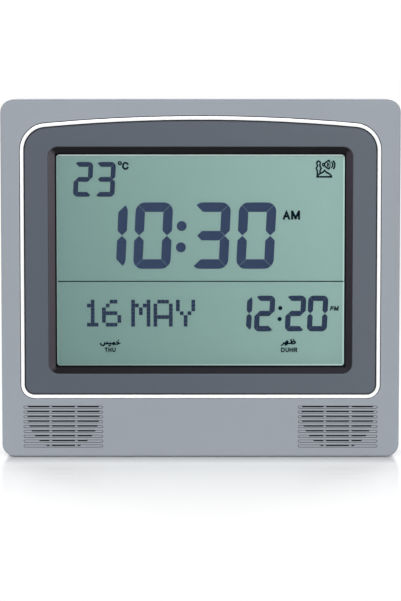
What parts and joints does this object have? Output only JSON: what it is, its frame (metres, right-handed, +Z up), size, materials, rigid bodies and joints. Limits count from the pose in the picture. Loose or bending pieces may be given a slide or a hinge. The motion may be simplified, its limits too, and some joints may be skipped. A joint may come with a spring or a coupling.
{
  "type": "azan clock",
  "caption": "Digital prayer clock: reflective display behind a sloped mask, arched trim ring, two speaker grilles, rear controls, battery door, keyholes and a fold-out stand leg.",
  "frame": {"origin": "on the table, under the middle of the case", "axes": "+X right seen from the front, +Y from front to back, +Z up"},
  "size_m": [0.2206, 0.042, 0.1985],
  "materials": {
    "case_plastic": "satin",
    "ring_finish": "polished",
    "bezel_plastic": "satin",
    "mask_plastic": "satin",
    "window_acrylic": "clear",
    "display_glass": "clear",
    "reflector_film": "pearly",
    "light_guide_acrylic": "clear",
    "lamp_epoxy": "clear",
    "circuit_board": "solder mask",
    "chip_epoxy": "matte",
    "frame_plastic": "matte",
    "connector_rubber": "matte",
    "screw_steel": "zinc plated",
    "bright_metal": "bright",
    "speaker_steel": "plated",
    "speaker_ferrite": "sintered",
    "speaker_paper": "matte",
    "dust_cloth": "woven",
    "foot_rubber": "matte",
    "button_plastic": "satin",
    "battery_jacket": "printed foil",
    "lead_insulation": "vinyl",
    "sensor_bead": "dipped"
  },
  "bodies": {
    "case": {"front_shell": "case_plastic", "trim_ring": "ring_finish", "inner_bezel": "bezel_plastic", "display_mask": "mask_plastic", "display_window": "window_acrylic", "lcd_front_glass": "display_glass", "lcd_rear_glass": "display_glass", "lcd_diffuser": "reflector_film", "light_guide": "light_guide_acrylic", "backlight_board": "circuit_board", "backlight_leds": "lamp_epoxy", "connector_strip": "connector_rubber", "display_frame": "frame_plastic", "main_board": "circuit_board", "board_screws": "screw_steel", "processor_chip": "chip_epoxy", "memory_chip": "chip_epoxy", "amplifier_chip": "chip_epoxy", "clock_crystal": "bright_metal", "capacitors": "bright_metal", "temperature_sensor": "sensor_bead", "wire_headers": "frame_plastic", "speaker_screws": "screw_steel", "rear_cover": "case_plastic", "case_screws": "screw_steel", "feet": "foot_rubber", "battery_1": "battery_jacket", "battery_2": "battery_jacket", "battery_3": "battery_jacket", "battery_springs": "bright_metal", "battery_plates": "bright_metal", "stand_pin": "screw_steel", "tact_switches": "chip_epoxy", "button_board": "circuit_board", "button_screws": "screw_steel", "switch_housings": "bright_metal", "speaker_leads": "lead_insulation", "battery_leads": "lead_insulation", "board_ribbon": "lead_insulation", "speaker_cloth_left": "dust_cloth", "speaker_frame_left": "speaker_steel", "speaker_cone_left": "speaker_paper", "speaker_magnet_left": "speaker_ferrite", "speaker_cloth_right": "dust_cloth", "speaker_frame_right": "speaker_steel", "speaker_cone_right": "speaker_paper", "speaker_magnet_right": "speaker_ferrite"},
    "battery_door": {"battery_door": "case_plastic"},
    "stand_leg": {"stand_leg": "case_plastic"},
    "mode_button": {"mode_button": "button_plastic"},
    "hour_button": {"hour_button": "button_plastic"},
    "minute_button": {"minute_button": "button_plastic"},
    "date_button": {"date_button": "button_plastic"},
    "city_button": {"city_button": "button_plastic"},
    "azan_button": {"azan_button": "button_plastic"},
    "azan_switch_knob": {"azan_switch_knob": "button_plastic"},
    "volume_switch_knob": {"volume_switch_knob": "button_plastic"}
  },
  "joints": [
    {"name": "battery_door_swing", "type": "hinge", "parent": "case", "child": "battery_door", "pos_m": [0.0658, 0.021, 0.0474], "axis": [-1, 0, 0], "range_deg": [0, 70]},
    {"name": "stand_leg_swing", "type": "hinge", "parent": "case", "child": "stand_leg", "pos_m": [0, 0.0188, 0.112], "axis": [1, 0, 0], "range_deg": [0, 40]},
    {"name": "mode_button_press", "type": "slide", "parent": "case", "child": "mode_button", "axis": [0, -1, 0], "range_m": [0, 0.0009], "stiffness_N_per_m": 600},
    {"name": "hour_button_press", "type": "slide", "parent": "case", "child": "hour_button", "axis": [0, -1, 0], "range_m": [0, 0.0009], "stiffness_N_per_m": 600},
    {"name": "minute_button_press", "type": "slide", "parent": "case", "child": "minute_button", "axis": [0, -1, 0], "range_m": [0, 0.0009], "stiffness_N_per_m": 600},
    {"name": "date_button_press", "type": "slide", "parent": "case", "child": "date_button", "axis": [0, -1, 0], "range_m": [0, 0.0009], "stiffness_N_per_m": 600},
    {"name": "city_button_press", "type": "slide", "parent": "case", "child": "city_button", "axis": [0, -1, 0], "range_m": [0, 0.0009], "stiffness_N_per_m": 600},
    {"name": "azan_button_press", "type": "slide", "parent": "case", "child": "azan_button", "axis": [0, -1, 0], "range_m": [0, 0.0009], "stiffness_N_per_m": 600},
    {"name": "azan_switch_slide", "type": "slide", "parent": "case", "child": "azan_switch_knob", "axis": [1, 0, 0], "range_m": [0, 0.004]},
    {"name": "volume_switch_slide", "type": "slide", "parent": "case", "child": "volume_switch_knob", "axis": [1, 0, 0], "range_m": [0, 0.004]}
  ]
}
